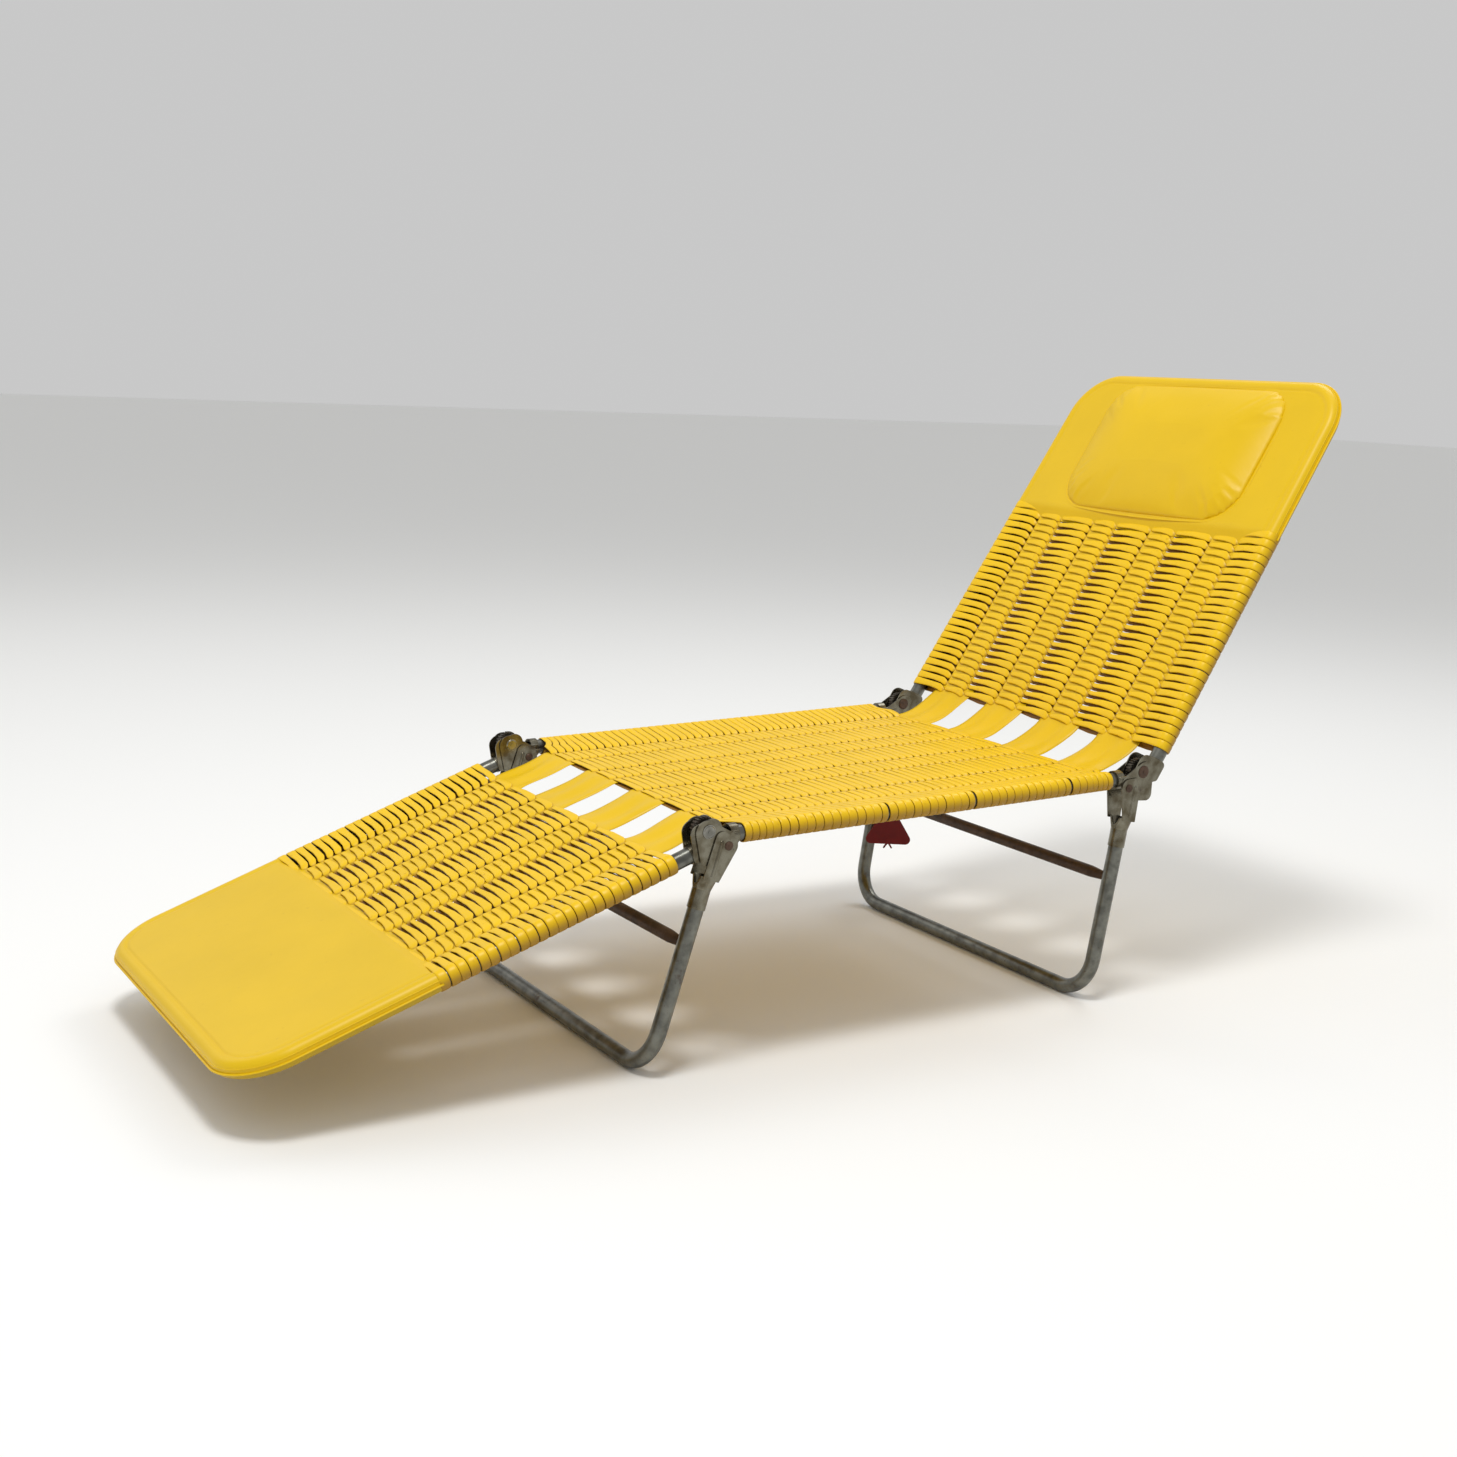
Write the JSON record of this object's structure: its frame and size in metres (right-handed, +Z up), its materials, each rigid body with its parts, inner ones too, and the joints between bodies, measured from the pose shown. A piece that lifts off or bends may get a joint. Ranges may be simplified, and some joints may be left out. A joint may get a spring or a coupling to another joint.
{
  "type": "folding reclining sun lounger",
  "caption": "Three-section folding sun lounger: round steel tube frame, woven PVC strip panels, padded head rest and folding U legs.",
  "frame": {"origin": "on the floor, under the middle of the bounding box's length and width", "axes": "+Z up, +Y towards the head end, +X towards the sitter's left"},
  "size_m": [0.5734, 1.5996, 0.8441],
  "materials": {
    "steel_tube": "worn grey-olive lacquer on drawn steel tube, specked with brown rust",
    "pressed_steel": "pressed steel sheet, dull, rust-brown at edges",
    "ratchet_steel": "stamped steel, dull with old grease",
    "rivet_steel": "cold-headed steel rivet, dull",
    "woven_strip": "glossy yellow extruded PVC strip, woven in twined pairs",
    "pvc_strap": "semi-gloss yellow PVC strap",
    "pvc_sheet": "satin yellow PVC sheet, welded at the edges",
    "pvc_pad": "satin yellow PVC sheet over foam, welded seam",
    "tag_plastic": "dark red moulded plastic",
    "ring_wire": "bent steel wire"
  },
  "bodies": {
    "seat": {"seat_rail_left": "steel_tube", "seat_rail_right": "steel_tube", "front_seat_bracket_left": "pressed_steel", "front_seat_bracket_right": "pressed_steel", "rear_seat_bracket_left": "pressed_steel", "rear_seat_bracket_right": "pressed_steel", "front_hinge_rivets": "rivet_steel", "front_leg_rivets": "rivet_steel", "front_ratchet_springs": "ratchet_steel", "rear_hinge_rivets": "rivet_steel", "rear_leg_rivets": "rivet_steel", "rear_ratchet_springs": "ratchet_steel", "seat_weave": "woven_strip", "seat_straps": "pvc_strap", "front_strap_bridges": "pvc_strap", "rear_strap_bridges": "pvc_strap"},
    "foot": {"foot_frame": "steel_tube", "foot_bracket_left": "pressed_steel", "foot_bracket_right": "pressed_steel", "foot_ratchet_wheels": "ratchet_steel", "foot_ratchet_keys": "rivet_steel", "foot_hinge_spacers": "ratchet_steel", "foot_weave": "woven_strip", "foot_straps": "pvc_strap", "foot_cover": "pvc_sheet"},
    "back": {"back_frame": "steel_tube", "back_bracket_left": "pressed_steel", "back_bracket_right": "pressed_steel", "back_ratchet_wheels": "ratchet_steel", "back_ratchet_keys": "rivet_steel", "back_hinge_spacers": "ratchet_steel", "back_weave": "woven_strip", "back_straps": "pvc_strap", "head_cover": "pvc_sheet", "head_pillow": "pvc_pad"},
    "front_legs": {"front_leg_frame": "steel_tube", "front_leg_head_left": "pressed_steel", "front_leg_head_right": "pressed_steel", "front_crossbar": "steel_tube"},
    "rear_legs": {"rear_leg_frame": "steel_tube", "rear_leg_head_left": "pressed_steel", "rear_leg_head_right": "pressed_steel", "rear_crossbar": "steel_tube"},
    "tag": {"tag_plate": "tag_plastic", "tag_ring": "ring_wire"}
  },
  "joints": [
    {"name": "foot_tilt", "type": "hinge", "parent": "seat", "child": "foot", "pos_m": [0, -0.24018, 0.2986], "axis": [-1, 0, 0], "range_deg": [0, 198], "deforming": ["front_strap_bridges", "front_ratchet_springs"]},
    {"name": "back_recline", "type": "hinge", "parent": "seat", "child": "back", "pos_m": [0, 0.43788, 0.31991], "axis": [1, 0, 0], "range_deg": [-55.7, 104], "deforming": ["rear_strap_bridges", "rear_ratchet_springs"]},
    {"name": "front_leg_fold", "type": "hinge", "parent": "seat", "child": "front_legs", "pos_m": [0, -0.21358, 0.27983], "axis": [1, 0, 0], "range_deg": [0, 100]},
    {"name": "rear_leg_fold", "type": "hinge", "parent": "seat", "child": "rear_legs", "pos_m": [0, 0.41251, 0.2995], "axis": [-1, 0, 0], "range_deg": [0, 72]},
    {"name": "tag_swing", "type": "hinge", "parent": "rear_legs", "child": "tag", "pos_m": [0, 0.40493, 0.17329], "axis": [1, 0, 0], "range_deg": [-60, 60]}
  ]
}
